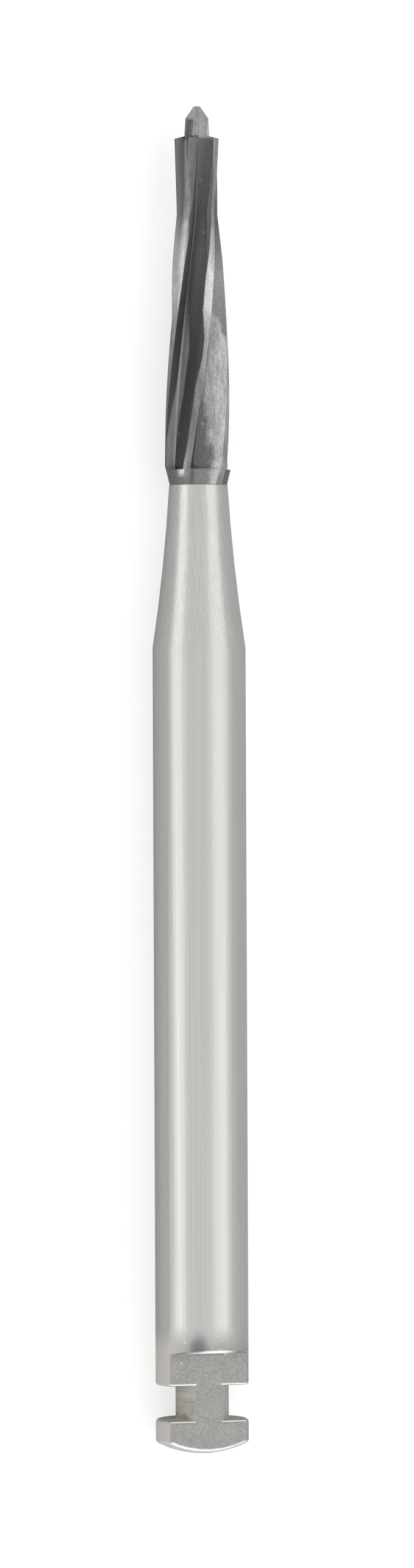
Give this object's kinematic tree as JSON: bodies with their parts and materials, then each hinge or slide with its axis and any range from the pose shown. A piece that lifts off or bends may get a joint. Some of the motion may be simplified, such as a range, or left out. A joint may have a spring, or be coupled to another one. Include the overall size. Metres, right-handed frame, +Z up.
{
  "type": "dental bur",
  "caption": "Extra-long spiral-fluted carbide bur with a blunt pilot tip, on a steel latch-type shank for a right-angle dental handpiece.",
  "frame": {"origin": "under the middle of the bur's length, on the surface that it lies on", "axes": "+Y along the axis towards the tip, +Z up out of the drive flat, +X to the right seen from above with the tip forwards"},
  "size_m": [0.0024, 0.034, 0.0023],
  "materials": {
    "steel": "ground stainless steel, fine grain",
    "carbide": "ground tungsten carbide, dark satin"
  },
  "bodies": {
    "root": {"shank": "steel", "cutting_head": "carbide"}
  },
  "joints": []
}
